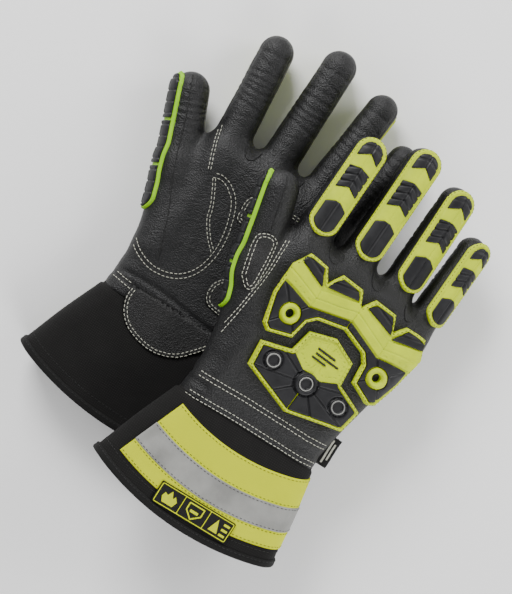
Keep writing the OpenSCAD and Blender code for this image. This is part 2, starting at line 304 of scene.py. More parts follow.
def add_mesh(name, side, verts, faces, material, slot=None, normals=None):
    """A mesh of the glove's own frame. faces is a list, or one array of quads, with -1 for none."""
    verts = place(side, verts)
    faces = [[int(i) for i in f if i >= 0][::1 if side == "right" else -1] for f in faces]
    mesh = bpy.data.meshes.new(name)
    mesh.from_pydata(verts.tolist(), [], faces)
    mesh.polygons.foreach_set("use_smooth", [True] * len(mesh.polygons))
    mesh.materials.append(material)
    if normals is not None:
        zero = place(side, np.zeros(3))
        turned = place(side, normals) - zero
        turned /= np.maximum(np.linalg.norm(turned, axis=1, keepdims=True), 1e-12)
        mesh.normals_split_custom_set_from_vertices(turned.tolist())
    obj = bpy.data.objects.new(name, mesh)
    bpy.context.collection.objects.link(obj)
    return obj


def vertex_normals(verts, faces):
    """Normals of the points, weighted by the areas of the faces round them."""
    n = np.zeros_like(verts)
    tri = np.asarray([[f[0], f[1], f[2]] for f in faces])
    c = np.cross(verts[tri[:, 1]] - verts[tri[:, 0]], verts[tri[:, 2]] - verts[tri[:, 0]])
    for f in range(3):
        np.add.at(n, tri[:, f], c)
    quad = np.asarray([[f[0], f[2], f[3]] for f in faces if len(f) > 3 and f[3] >= 0])
    if len(quad):
        c = np.cross(verts[quad[:, 1]] - verts[quad[:, 0]], verts[quad[:, 2]] - verts[quad[:, 0]])
        for f in range(3):
            np.add.at(n, quad[:, f], c)
    return n / np.maximum(np.linalg.norm(n, axis=1, keepdims=True), 1e-9)


def compact(faces, count):
    """The vertices that the faces use, and the same faces numbered by them."""
    used = np.unique(faces[faces >= 0])
    renumber = np.full(count + 1, -1)
    renumber[used] = np.arange(len(used))
    return used, np.where(faces >= 0, renumber[faces], -1)


def centres(verts, faces):
    mask = faces >= 0
    return (verts[np.maximum(faces, 0)] * mask[..., None]).sum(1) / mask.sum(1)[:, None]


def split(suffix, side, mesh, which, material, slot, normals, stands_for):
    """Cuts a mesh into its parts, attaches each, and gives the list of them. which says each face's
    part, as label() does, and stands_for(part) the CAD nodes that the part replaces."""
    verts, faces = mesh
    pieces = []
    for w in np.unique(which):
        used, local = compact(faces[which == w], len(verts))
        piece = add_mesh(f"{part_name(side, w)}_{suffix}", side, verts[used], local,
                         MATERIALS[material], slot, None if normals is None else normals[used])
        attach(piece, side, int(w))
        for n in (stands_for(int(w)) if stands_for else ()):
            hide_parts(n)
        pieces.append(piece)
    return pieces


def emit(suffix, side, mesh, material, slot=None, normals=None, stands_for=None):
    """A mesh that is split between the hand and the segments of its digits."""
    return split(suffix, side, mesh, label(side, centres(*mesh)), material, slot, normals, stands_for)


def emit_digit(suffix, side, i, mesh, material, slot=None, stands_for=None):
    """As emit, for a mesh that belongs to digit i wherever it reaches."""
    d = HANDS[side][i]
    t = (centres(*mesh)[:, :2] - d.pivot) @ d.bend
    which = np.where(t < d.t0, 0, np.where(t < d.t1, 1 + 2 * i, 2 + 2 * i))
    split(suffix, side, mesh, which, material, slot, None, stands_for)


def on_glove(name, side, mesh, material, slot=None, stands_for=None):
    """A piece that stays with the hand. stands_for is the CAD node that it replaces."""
    piece = add_mesh(f"{side}_{name}", side, *mesh, MATERIALS[material], slot)
    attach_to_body(piece, f"{side}_glove")
    if stands_for:
        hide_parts(f"{side}_{stands_for}")
    return piece


def relief(outline, height, to3d, box, step, skirt=-0.7):
    """A plate whose plan is outline < 0 and whose top is height over the plan."""
    xs = np.arange(box[0], box[2] + step, step)
    ys = np.arange(box[1], box[3] + step, step)
    p = np.stack(np.meshgrid(xs, ys, indexing="ij"), -1).reshape(-1, 2)
    for _ in range(2):
        d = outline(p)
        near = np.abs(d) < 0.75 * step
        p[near] -= d[near][:, None] * gradient(outline, p[near], 0.05)
    keep = outline(p) < 0.06 * step
    nx, ny = len(xs), len(ys)
    i, j = np.meshgrid(np.arange(nx - 1), np.arange(ny - 1), indexing="ij")
    a = (i * ny + j).ravel()
    quad = np.stack([a, a + ny, a + ny + 1, a + 1], 1)
    on = keep[quad]
    faces = [quad[on.all(1)]]
    three = quad[on.sum(1) == 3]
    if len(three):
        t = np.full((len(three), 4), -1)
        for k in range(4):
            mine = ~keep[three[:, k]]
            t[mine, :3] = three[mine][:, [m for m in range(4) if m != k]]
        faces.append(t)
    faces = np.concatenate(faces)
    used, faces = compact(faces, len(p))
    p = p[used]
    # The wall round the edge
    edges = {}
    for f in faces:
        g = [k for k in f if k >= 0]
        for s, e in zip(g, g[1:] + g[:1]):
            if edges.pop((e, s), None) is None:
                edges[(s, e)] = True
    rim = np.array(list(edges))
    ring = np.unique(rim)
    low = np.full(len(p), -1)
    low[ring] = len(p) + np.arange(len(ring))
    wall = np.stack([rim[:, 1], rim[:, 0], low[rim[:, 0]], low[rim[:, 1]]], 1)
    flat = np.concatenate([p, p[ring]])
    h = np.concatenate([height(p), np.full(len(ring), float(skirt))])
    return to3d(flat, h), np.concatenate([faces, wall])


def flat_top(h):
    """A height for relief() that is h everywhere."""
    return lambda p: np.full(len(p), float(h))


def bevel(d, width):
    """0 at an edge, 1 further in than width, rounded. d is below 0 inside."""
    t = np.clip(-d / width, 0, 1)
    return np.sqrt(1 - (1 - t) ** 2)


def groove(d, width):
    return np.exp(-((d / width) ** 2))


# ---- stitches ----
def resample(path, gap):
    path = np.asarray(path, float)
    seg = np.linalg.norm(np.diff(path, axis=0), axis=1)
    s = np.concatenate([[0], np.cumsum(seg)])
    n = max(2, int(round(s[-1] / gap)) + 1)
    at = np.linspace(0, s[-1], n)
    return np.stack([np.interp(at, s, path[:, i]) for i in range(path.shape[1])], 1)


def smooth_path(points, n=12):
    """Catmull-Rom curve through the points."""
    p = np.asarray(points, float)
    p = np.concatenate([[2 * p[0] - p[1]], p, [2 * p[-1] - p[-2]]])
    t = np.linspace(0, 1, n, endpoint=False)[:, None]
    out = []
    for a, b, c, d in zip(p, p[1:], p[2:], p[3:]):
        out.append(0.5 * (2 * b + (c - a) * t + (2 * a - 5 * b + 4 * c - d) * t ** 2
                          + (3 * b - a - 3 * c + d) * t ** 3))
    return np.concatenate(out + [p[-2:-1]])


def beside(path, distance):
    """The path moved sideways."""
    t = np.gradient(np.asarray(path, float), axis=0)
    t /= np.maximum(np.linalg.norm(t, axis=1, keepdims=True), 1e-9)
    return path + distance * np.stack([-t[:, 1], t[:, 0]], 1)


def thread(points, normals, length=2.1, gap=0.9, radius=0.26):
    """Short stitches along a line that lies on a surface."""
    data = resample(np.concatenate([points, normals], 1), (length + gap) / 2)
    p, n = data[:, :3], data[:, 3:]
    n /= np.maximum(np.linalg.norm(n, axis=1, keepdims=True), 1e-9)
    mid, before, after = p[1:-1:2], p[0:-2:2], p[2::2]
    k = min(len(mid), len(before), len(after))
    mid, n = mid[:k], n[1:-1:2][:k]
    t = after[:k] - before[:k]
    t /= np.maximum(np.linalg.norm(t, axis=1, keepdims=True), 1e-9)
    b = np.cross(n, t)
    rows = ((-0.5, 0.35, -0.5), (-0.38, 0.85, 0.1), (0, 1.0, 0.35), (0.38, 0.85, 0.1), (0.5, 0.35, -0.5))
    angle = np.arange(6) * math.pi / 3
    verts, faces = [], []
    for q, nn, tt, bb in zip(mid, n, t, b):
        base = len(verts)
        jog = RNG.normal(0, 0.06)
        for f, w, lift in rows:
            c = q + tt * f * length + nn * lift * radius + bb * jog
            for a in angle:
                verts.append(c + radius * w * (math.cos(a) * bb + math.sin(a) * nn))
        for r in range(4):
            for a in range(6):
                a2 = (a + 1) % 6
                faces.append((base + r * 6 + a, base + (r + 1) * 6 + a,
                              base + (r + 1) * 6 + a2, base + r * 6 + a2))
        for o, turn in ((base, 1), (base + 24, -1)):
            faces.append(tuple(o + np.array([0, 1, 2, 3])[::turn]))
            faces.append(tuple(o + np.array([0, 3, 4, 5])[::turn]))
    return np.array(verts).reshape(-1, 3), np.array(faces).reshape(-1, 4)


def join(parts):
    """Several (verts, faces) as one."""
    parts = [p for p in parts if len(p[0])]
    verts, faces, n = [], [], 0
    for v, f in parts:
        verts.append(v)
        faces.append(np.where(f >= 0, f + n, -1))
        n += len(v)
    return np.concatenate(verts), np.concatenate(faces)


# ---- materials ----
def linear(rgb):
    """A colour of 0 to 255 a channel, as Blender wants it."""
    return tuple(((c / 255 + 0.055) / 1.055) ** 2.4 if c > 10 else c / 255 / 12.92 for c in rgb) + (1.0,)


class Shader:
    """A few words for building a procedural material."""

    def __init__(self, name):
        self.m = bpy.data.materials.new(name)
        self.m.use_nodes = True
        self.t = self.m.node_tree
        self.b = self.t.nodes["Principled BSDF"]
        self.coord = self.t.nodes.new("ShaderNodeTexCoord").outputs["Object"]

    def feed(self, socket, value):
        """Links a socket to another one, or gives it a value."""
        if isinstance(value, bpy.types.NodeSocket):
            self.t.links.new(value, socket)
        else:
            socket.default_value = value

    def node(self, kind, inputs, **props):
        n = self.t.nodes.new(kind)
        for k, v in props.items():
            setattr(n, k, v)
        for k, v in inputs.items():
            self.feed(n.inputs[k], v)
        return n

    def texture(self, kind, output, inputs, **props):
        inputs = {"Vector": self.coord, **inputs}
        return self.node(f"ShaderNodeTex{kind}", inputs, **props).outputs[output]

    def noise(self, scale, detail=2.0, rough=0.5):
        return self.texture("Noise", "Fac", {"Scale": scale, "Detail": detail, "Roughness": rough})

    def voronoi(self, scale):
        return self.texture("Voronoi", "Distance", {"Scale": scale})

    def wave(self, scale, direction, distortion=0.0):
        inputs = {"Scale": scale, "Distortion": distortion, "Detail": 1.0, "Detail Scale": 3.0}
        return self.texture("Wave", "Fac", inputs, bands_direction=direction)

    def math(self, op, a, b):
        return self.node("ShaderNodeMath", {0: a, 1: b}, operation=op).outputs[0]

    def spread(self, value, low, high, to_low, to_high):
        return self.node("ShaderNodeMapRange", {"Value": value, "From Min": low, "From Max": high,
                                                "To Min": to_low, "To Max": to_high}).outputs[0]

    def mix(self, fac, a, b):
        # Sockets 6, 7 and output 2 are the node's colours.
        return self.node("ShaderNodeMix", {0: fac, 6: a, 7: b}, data_type="RGBA").outputs[2]

    def bump(self, height, distance, strength):
        last = self.b.inputs["Normal"].links
        n = self.node("ShaderNodeBump", {"Height": height, "Distance": distance, "Strength": strength})
        if last:
            self.t.links.new(last[0].from_socket, n.inputs["Normal"])
        self.t.links.new(n.outputs[0], self.b.inputs["Normal"])

    def set(self, **values):
        names = {"color": "Base Color", "rough": "Roughness", "metal": "Metallic",
                 "sheen": "Sheen Weight", "spec": "Specular IOR Level"}
        for k, v in values.items():
            self.feed(self.b.inputs[names[k]], v)
        return self.m


def leather(name, dark, light, grain, rough):
    """Grained leather, its colour worn from dark to light in broad patches."""
    s = Shader(name)
    cells = s.voronoi(grain)
    fine = s.noise(grain * 1.6, 3.0, 0.65)
    broad = s.noise(55.0, 3.0, 0.55)
    s.bump(s.math("ADD", s.math("MULTIPLY", cells, 0.8), s.math("MULTIPLY", fine, 0.6)), 0.00042, 0.9)
    s.bump(s.noise(190.0, 3.0, 0.6), 0.0009, 0.3)
    wear = s.spread(broad, 0.35, 0.7, 0.0, 1.0)
    return s.set(color=s.mix(wear, linear(dark), linear(light)),
                 rough=s.spread(fine, 0.3, 0.7, rough, rough + 0.16), spec=0.38)


def cloth(name, dark, light, threads, rough, sheen):
    """Woven cloth or thread: threads is the scale of the weave."""
    s = Shader(name)
    warp = s.wave(threads, "X", 0.4)
    weft = s.wave(threads, "Y", 0.4)
    weave = s.math("MULTIPLY", warp, weft)
    s.bump(weave, 0.00022, 0.6)
    s.bump(s.noise(120.0, 2.0), 0.0006, 0.25)
    s.bump(s.noise(30.0, 2.0), 0.003, 0.3)
    tone = s.math("MULTIPLY", s.spread(weave, 0.0, 1.0, 0.35, 1.0),
                  s.spread(s.noise(70.0, 3.0), 0.3, 0.7, 0.75, 1.0))
    return s.set(color=s.mix(tone, linear(dark), linear(light)), rough=rough, spec=0.2, sheen=sheen)


def rubber(name, dark, light, rough):
    """Moulded rubber with faint smudges."""
    s = Shader(name)
    fine = s.noise(900.0, 2.0)
    s.bump(fine, 0.00008, 0.5)
    smudge = s.spread(s.noise(90.0, 4.0, 0.6), 0.35, 0.75, 0.0, 1.0)
    return s.set(color=s.mix(smudge, linear(dark), linear(light)),
                 rough=s.spread(s.noise(300.0), 0.3, 0.7, rough, rough + 0.15), spec=0.3)


def silver_tape(name):
    """Satin grey of fine glass beads, with a faint lattice."""
    s = Shader(name)
    beads = s.voronoi(1500.0)
    lattice = s.math("MULTIPLY", s.wave(160.0, "X"), s.wave(160.0, "Y"))
    s.bump(s.math("ADD", beads, lattice), 0.0001, 0.4)
    tone = s.spread(s.noise(45.0, 3.0), 0.3, 0.7, 0.0, 1.0)
    return s.set(color=s.mix(tone, linear((120, 120, 117)), linear((150, 150, 146))), metal=0.35,
                 rough=s.spread(beads, 0.0, 0.6, 0.42, 0.6))


# How each is made, its name, its dark and light colour, then its scale and finish
MATERIALS = {name: make(name, *look) for make, name, *look in (
    (leather, "leather", (9, 9, 10), (17, 17, 18), 1000.0, 0.38),
    (leather, "palm_leather", (10, 10, 10), (19, 18, 18), 1200.0, 0.42),
    (cloth, "cuff_fabric", (4, 4, 4), (32, 31, 30), 220.0, 0.9, 0.02),
    (cloth, "liner_fabric", (20, 20, 20), (48, 47, 46), 260.0, 0.95, 0.4),
    (cloth, "binding_fabric", (10, 10, 10), (24, 23, 22), 520.0, 0.8, 0.05),
    (cloth, "yellow_tape", (182, 192, 0), (210, 216, 0), 480.0, 0.85, 0.0),
    (silver_tape, "silver_tape"),
    (cloth, "printed_patch", (12, 12, 12), (24, 24, 24), 700.0, 0.6, 0.0),
    (cloth, "woven_label", (12, 12, 12), (26, 26, 26), 600.0, 0.7, 0.05),
    (rubber, "yellow_rubber", (178, 196, 0), (196, 212, 0), 0.5),
    (rubber, "lime_rubber", (128, 186, 0), (146, 202, 0), 0.5),
    (rubber, "black_rubber", (22, 22, 24), (32, 32, 34), 0.4),
    (cloth, "white_thread", (176, 176, 160), (226, 226, 212), 1500.0, 0.7, 0.1),
    (cloth, "dark_thread", (44, 50, 14), (70, 78, 20), 1500.0, 0.7, 0.1),
    (cloth, "black_thread", (20, 20, 20), (40, 40, 40), 1500.0, 0.7, 0.1),
)}


# ---- the leather hand ----
HAND_STEP = 1.25
LEATHER_T = 3.0
# Where the small folds of each digit lie, as a part of its length, their slant and their depth
FOLDS_AT = (0.12, 0.2, 0.31, 0.55, 0.62, 0.7, 0.8)


def hand_skin(side):
    """The leather as a shell that is open at the wrist, with its creases and unevenness."""
    f = skin(side)

    def shell(p):
        d = f(p)
        # Hollow as far as the roots of the fingers
        d = np.maximum(d, -(d + LEATHER_T) - 20 * np.clip((p[..., 1] - 30) / 10, 0, 1))
        return np.maximum(d, WRIST_Y - p[..., 1])

    verts, quads = surface_nets(shell, (-98, -74, -21), (76, 152, 21), HAND_STEP)
    for _ in range(2):
        verts -= shell(verts)[:, None] * gradient(shell, verts) * 0.9
    n = gradient(shell, verts)
    outer = (f(verts) > -0.8) & (verts[:, 1] > WRIST_Y + 0.5)
    push = 0.32 * ripple(verts) - 0.25 - creases(side, verts)
    verts = verts + n * (push * outer)[:, None]
    return verts, quads, vertex_normals(verts, quads)


FOLDS = [(a, RNG.uniform(-0.35, 0.35), RNG.uniform(0.2, 0.55)) for a in FOLDS_AT]


def creases(side, p):
    """Depth of the folds at the wrist and at the bends, and of the seams."""
    x, y, z = p[:, 0], p[:, 1], p[:, 2]
    depth = 0.9 * groove(y + 57 + 2 * np.sin(x / 17), 1.6) * (z < 0)
    depth += 0.5 * groove(y + 61.5, 2.2)
    for d in HANDS[side]:
        w = p[:, :2] - d.pivot
        s, lat = w @ d.along, w @ d.across
        on = (np.abs(lat) < d.r + 2) & (s > 3)
        for k, deep in ((0.0, 0.6), (4.5, 0.35), (-4.5, 0.35)):
            depth += on * deep * groove(s - d.base - k - 0.05 * lat ** 2 / 3, 0.9) * (z < 2)
        for place_at, tilt, deep in FOLDS:
            fold_at = s - place_at * d.length - tilt * lat
            depth += on * deep * groove(fold_at, 0.8) * (z < 0) * (np.abs(lat) < d.r)
        # Side seams of the fourchettes
        depth += on * (s < d.length - 6) * 0.4 * groove(np.abs(z) - 5.2, 0.6) * (np.abs(lat) > d.r * 0.6)
    return depth


def build_hand(side):
    verts, quads, normals = hand_skin(side)
    for piece in emit("leather", side, (verts, quads), "leather", "leather", normals,
                      lambda w: [part_name(side, w) + ("" if w else "_shell")]):
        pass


# ---- what lies on the hand ----
def on_hand(side, up, solid=None):
    """Takes plan points and heights to the back of the hand, up 1, or to the palm, up -1."""
    f = solid or skin(side)

    def to3d(p, h):
        origin = np.concatenate([p, np.zeros((len(p), 1))], 1)
        direction = np.array([0, 0, float(up)])
        at = cast(f, origin, direction)
        return at + gradient(f, at, 0.6) * np.reshape(h, (-1, 1))
    return to3d


def surface_path(side, path, up, lift):
    """A line in plan laid on the hand, with its normals."""
    to3d = on_hand(side, up)
    path = resample(path, PATH_STEP)
    at = to3d(path, lift)
    return at, gradient(skin(side), at, 0.6)


PLATE_X, PLATE_LEAN = 9.5, math.radians(-3.7)  # where the guards lie on the back of the hand


def from_plate(p):
    """The guards' own plan, which is symmetrical, in the plan of the glove."""
    c, s = math.cos(PLATE_LEAN), math.sin(PLATE_LEAN)
    return np.stack([p[:, 0] * c - p[:, 1] * s + PLATE_X, p[:, 0] * s + p[:, 1] * c], 1)


def both(half):
    """A symmetrical outline from its right half."""
    return half + [(-x, y) for x, y in half[::-1] if x > 0]


KNUCKLE = both([(0, 35.7), (6, 45.5), (22, 45.5), (27.5, 35), (34, 43.5), (48, 44), (54, 32), (53, 10),
                (47, -10), (42, -13), (25.5, -7), (23.6, 6.5), (18.6, 12), (0, 17.3)])
BACK = both([(0, 10.2), (18, 3.5), (20.5, -12.5), (41, -19.5), (38.5, -37), (0, -48)])
EYELET = (36.5, 5.0)
PAD_H = 3.9
BAND = [(0, 38.3), (28.5, 28.9), (52.5, 37.4), (55, 30), (54.5, 20.8), (51.5, 21.5), (28.5, 16.4),
        (-1, 25.5), (-1, 38)]
OUTER_PEAK = [(28.6, 30.2), (51.2, 36.9), (49.3, 41.2), (47.2, 42.2), (35.6, 41.9), (32.6, 37)]
INNER_PEAK = [(27.6, 32.4), (24.4, 39.2), (21.3, 43.4), (8.4, 43.4), (5.6, 40.6), (3.8, 37.6)]
LOW_FIELD = [(-0.1, 24.6), (28.5, 15.8), (51.2, 20.6), (53, 9), (60, -30), (-0.1, -30)]


def fold(p):
    """The right half stands for both."""
    return np.stack([np.abs(p[:, 0]), p[:, 1]], 1)


def knuckle_outline(p):
    hole = 3.0 - np.linalg.norm(fold(p) - EYELET, axis=1)
    return np.maximum(sd_poly(p, KNUCKLE), hole)


def knuckle_black(p):
    q = fold(p)
    field = np.maximum(sd_poly(q, LOW_FIELD), sd_poly(p, KNUCKLE) + 2.3)
    field = np.maximum(field, 7.1 - np.linalg.norm(q - EYELET, axis=1))
    return np.minimum(field, np.minimum(sd_poly(q, OUTER_PEAK), sd_poly(q, INNER_PEAK)))


def knuckle_yellow_h(p):
    """Height of the yellow rubber: a rim, a folded band across, and a ring round each eyelet."""
    q = fold(p)
    edge = sd_poly(p, KNUCKLE)
    rim = 4.0 * bevel(edge, 1.1) * (edge > -2.2) + (edge <= -2.2) * 2.6
    rim = np.where((edge < -1.9) & (edge > -2.6), np.minimum(rim, 2.6 + 1.4 * bevel(-edge - 2.3, 0.5)), rim)
    mid = np.minimum(to_line(q, (0, 31.7), (28.5, 22.6)), to_line(q, (28.5, 22.6), (54, 29.5)))
    band = 4.5 - 0.1 * mid - 0.7 * groove(mid, 0.45)
    band -= 0.6 * groove(to_line(q, (28.5, 15), (28.5, 30)), 0.45)
    band -= 0.6 * groove(q[:, 0], 0.45)
    low = to_line(q, (31, 19), (50, 24.5))
    at = np.clip((q - (33, 19.8)) @ np.array([0.96, 0.28]), 0, 17)
    band -= 0.5 * groove(low, 0.5) * (np.cos(at * 2 * math.pi / 4.6) > 0.7)
    band_d = sd_poly(q, BAND)
    h = np.maximum(rim, np.where(band_d < 0, band * bevel(band_d, 0.5) * bevel(edge, 0.9), 0))
    ring = np.linalg.norm(q - EYELET, axis=1)
    return np.where(ring < 6.9, 5.4 * np.sqrt(np.clip(1 - ((ring - 4.9) / 2.35) ** 2, 0.05, 1)), h)


def knuckle_black_h(p):
    q = fold(p)
    h = PAD_H * bevel(knuckle_black(p), 0.7)
    for a, b in ((EYELET, (49.8, 19.2)), (EYELET, (47, -8.9)), (EYELET, (27.7, -3.7)),
                 (EYELET, (28.5, 16.4)), ((0, 17), (0, 26))):
        h -= 1.1 * groove(to_line(q, a, b), 0.5)
    for a, b in (((32.8, 37.2), (48.8, 42.2)), ((8, 43.2), (25, 38.2))):
        h -= 1.2 * groove(to_line(q, a, b), 0.6)
    for k in range(5):
        c = np.array([2.6 + 4.6 * k, 20.6 - 1.35 * k])
        h -= 0.9 * groove(np.linalg.norm(q - c, axis=1), 0.55)
    return np.maximum(h, 1.5)


HEX = [(-0.1, 8), (16.2, 2), (18.4, -11.5), (7.2, -17.6), (4, -17.4), (-0.1, -17.2)]
BACK_LOW = [(-0.1, -17.8), (7.2, -18.4), (19.2, -12), (22, -14), (60, -22), (60, -60), (-0.1, -60)]
BOSSES = [(0.0, -25.2, 8.1), (27.0, -25.2, 6.1)]


def back_black(p):
    q = fold(p)
    bars = 9.0
    for x, y, w in ((0, -2.0, 7.5), (2.5, -5.2, 9.5), (-2, -8.4, 6.0)):
        c = p - (x, y)
        bars = np.minimum(bars, np.maximum(np.abs(c[:, 0]) - w, np.abs(c[:, 1]) - 0.95))
    field = np.maximum(sd_poly(q, BACK_LOW), sd_poly(p, BACK) + 2.3)
    return np.minimum(field, bars)


def back_yellow_h(p):
    edge = sd_poly(p, BACK)
    h = np.where(edge > -2.1, 4.0 * bevel(edge, 1.1), 3.0)
    q = fold(p)
    inner = sd_poly(q, HEX)
    along = np.arctan2(p[:, 1] + 5, p[:, 0])
    h -= 0.6 * groove(inner + 2.6, 0.45) * (np.cos(along * 30) > 0.55) * (edge < -3)
    h -= 0.4 * groove(p[:, 0], 0.35) * (edge < -2.4) * ((p[:, 1] > 2) | (p[:, 1] < -11))
    return h


def back_black_h(p):
    q = fold(p)
    h = PAD_H * bevel(back_black(p), 0.7)
    centre = np.array(BOSSES[0][:2])
    for angle in (-170, -90, -45, -15, 20, 65):
        a = math.radians(angle)
        h -= 1.1 * groove(to_line(q, centre, centre + 60 * np.array([math.cos(a), math.sin(a)])), 0.5)
    for x, y, r in BOSSES:
        d = np.linalg.norm(q - (x, y), axis=1)
        disc = 5.2 * bevel(d - r, 1.4) - 1.2 * groove(d - 4.6, 0.6)
        disc -= 1.4 * (1 - bevel(3.6 - d, 0.8)) * (d < 3.6)
        h = np.where(d < r, disc, h - 0.9 * groove(d - r - 0.3, 0.6))
    return np.maximum(h, 1.4)


def build_plates(side):
    """The guards over the knuckles and over the back of the hand."""
    step = 0.9 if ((side == "left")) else 0.42
    place_on = on_hand(side, 1)

    def to3d(p, h):
        return place_on(from_plate(p), h)

    def back_outline(p):
        return sd_poly(p, BACK)

    for name, rim, outline, high, black, black_h, box in (
            ("knuckle", KNUCKLE, knuckle_outline, knuckle_yellow_h, knuckle_black, knuckle_black_h,
             (-56, -15, 56, 47)),
            ("back", BACK, back_outline, back_yellow_h, back_black, back_black_h, (-43, -50, 43, 12))):
        def under(p, black=black, high=high):
            # Low under the black pads
            return np.where(black(p) < -0.6, 0.9, high(p))

        on_glove(f"{name}_guard_yellow", side, relief(outline, under, to3d, box, step),
                 "yellow_rubber", "yellow_rubber", f"{name}_guard")
        on_glove(f"{name}_guard_pads", side, relief(black, black_h, to3d, box, step, 1.2), "black_rubber")
        path = resample(np.array(rim + rim[:1], float), 1.0)
        g = gradient(lambda p, rim=rim: sd_poly(p, rim), path + 1e-3, 0.4)
        path = path - g * (1.15 + sd_poly(path, rim))[:, None]
        at = to3d(path, 3.95)
        on_glove(f"{name}_guard_stitches", side, thread(at, gradient(skin(side), at, 0.6), 1.5, 1.5, 0.22),
                 "dark_thread")

    def rings(p):
        return np.min([np.abs(np.linalg.norm(fold(p) - (x, y), axis=1) - 4.3) - 0.38
                       for x, y, _ in BOSSES], axis=0)

    on_glove("back_guard_rings", side, relief(rings, flat_top(4.9), to3d, (-33, -32, 33, -18),
                                              0.3 if side == "right" else 0.5, 3.0), "silver_tape")


def digit_map(side, d):
    """Takes (across, along) and a height to the outside of a digit, turned by its guard's roll."""
    a = math.radians(d.roll)
    across = np.array([*(d.across * math.cos(a)), -math.sin(a)])
    out = np.array([*(d.across * math.sin(a)), math.cos(a)])
    f = skin(side)

    def to3d(p, h):
        at = cast(f, d.on_axis(p[:, 1]) + p[:, :1] * across, out)
        return at + gradient(f, at, 0.5) * np.reshape(h, (-1, 1))
    return to3d


# The widest that a digit's guard is, where it starts from the pivot, and how far it stops from the tip
GUARD_W = 18.7
GUARD_FROM, THUMB_GUARD_FROM = 2.5, -42.0
GUARD_SHORT = 2.4
# Height of the yellow rubber under the black pads, so that it never shows in their grooves
UNDER_PADS = 0.8


def build_digit_guard(side, i):
    """The guard of digit i: a yellow plate with rounded ends and black pads in it."""
    d = HANDS[side][i]
    thumb = d.name == "thumb"
    w = min(GUARD_W, 2 * d.r - 5) / 2
    y0, y1 = (THUMB_GUARD_FROM if thumb else GUARD_FROM), d.length - GUARD_SHORT
    long = y1 - y0

    def outline(p):
        past = np.maximum(y0 + w - p[:, 1], p[:, 1] - (y1 - w))
        return np.hypot(p[:, 0], np.maximum(past, 0)) - w

    def zone(p):
        """The black pads: four parts on the thumb, and a pad, a chevron and a tip on a finger."""
        v, u = (p[:, 1] - y0) / long, np.abs(p[:, 0])
        if thumb:
            k = np.abs((p[:, 1] - y0) % 31.0 - 15.5) - 14.6
            return np.maximum(outline(p) + 1.7, k)
        slope = 0.55 * u / long
        pad = np.maximum(v - (0.345 - np.maximum(slope - 0.012, 0) * 1.2), -1)
        chevron = np.maximum(0.50 - slope * 1.1 - v, v - (0.72 - slope * 0.6))
        tip = 0.86 - slope * 1.4 - v
        return np.maximum(outline(p) + 2.5, np.minimum(np.minimum(pad, chevron), tip) * long)

    def yellow_h(p):
        edge = outline(p)
        top = 2.0 if thumb else 2.9
        h = np.where(edge > (-1.3 if thumb else -2.0), top * bevel(edge, 0.9), 0.76 * top)
        v = (p[:, 1] - y0) / long
        h -= 0.5 * groove(p[:, 0], 0.35) * (edge < -2)
        h -= 0.35 * groove(np.abs(p[:, 0]) - w + 2.2, 0.3) * (v > 0.3)
        return np.where(zone(p) < -0.6, UNDER_PADS, h)

    def black_h(p):
        v, u = (p[:, 1] - y0) / long, np.abs(p[:, 0])
        h = 2.9 * bevel(zone(p), 0.6) - groove(p[:, 0], 0.5)
        if thumb:
            h -= 0.9 * groove((p[:, 1] - y0) % 7.75 - 3.9, 0.5)
        else:
            rib = (v - 0.50) * long + 0.62 * u
            ribs = groove((rib + 2.6) % 5.2 - 2.6, 0.5)
            h -= 1.2 * ribs * (v > 0.40) * (v < 0.76) * (np.abs(rib) > 1.5)
            h -= 0.8 * groove((v - 0.93) * long + 0.4 * u, 0.45)
        return np.maximum(h, 1.2)

    def node(which):
        if which == 2 + 2 * i:
            return [f"{side}_thumb_guard" if thumb else f"{side}_{d.name}_tip_guard"]
        return [f"{side}_{d.name}_base_guard"] if which == 1 + 2 * i and not thumb else []

    step = (0.45) if side == "right" or thumb else 0.8
    to3d = digit_map(side, d)
    box = (-w - 0.5, y0 - 0.5, w + 0.5, y1 + 0.5)
    emit_digit(f"{d.name}_guard_yellow", side, i, relief(outline, yellow_h, to3d, box, step),
               "lime_rubber" if thumb else "yellow_rubber", "yellow_rubber", node)
    emit_digit(f"{d.name}_guard_pads", side, i, relief(zone, black_h, to3d, box, step, 1.0), "black_rubber")
    if thumb:
        return
    # Stitches in the rim
    t = np.linspace(0, 2 * math.pi, 200)
    ends = np.where(np.cos(t) > 0, y1 - w, y0 + w)
    path = resample(np.stack([(w - 1.1) * np.sin(t), ends + (w - 1.1) * np.cos(t)], 1), 0.8)
    at = to3d(path, 2.85)
    emit_digit(f"{d.name}_guard_stitches", side, i, thread(at, gradient(skin(side), at, 0.5), 1.3, 1.3, 0.2),
               "dark_thread")


# ---- palm patches and seams ----
LOBE = [(-38, -61), (-38.5, -70), (-35, -79), (-27, -87), (-14, -91.5), (-1, -92), (12, -87), (22, -77),
        (30, -66), (31, -61), (15, -60), (-15, -60)]
SIDE_SEAM = [(-58, -40), (-57, -25), (-55, 0), (-53.2, 22), (-52.6, 40), (-52.2, 54)]
FINGER_SEAM = [(-48.5, 60), (-44, 45), (-38, 29.5)]
THUMB_ARC = [(-55, -33), (-47, -39), (-36, -43), (-24, -42), (-14, -36.5), (-7.5, -26), (-5.2, -12), (-7, 3),
             (-12.7, 18.7), (-20, 26), (-27, 28.5), (-33, 27)]
LEAF = [(-32.5, 27), (-24.5, 12), (-21, 2), (-14, -8), (-6.3, -15.5)]
THUMB_PATCH = [(-66, 11), (-69, 22), (-71.5, 37), (-67, 42.5), (-60, 43), (-56, 38), (-54.5, 22),
               (-54, 8), (-59, 5)]
HEEL = [(4.6, -38), (5.2, -31), (9, -25.5), (14, -24.2), (36, -20.4), (42.5, -23), (45, -30), (45, -40),
        (42, -46.5), (36, -49), (14, -47.4), (7.2, -44)]
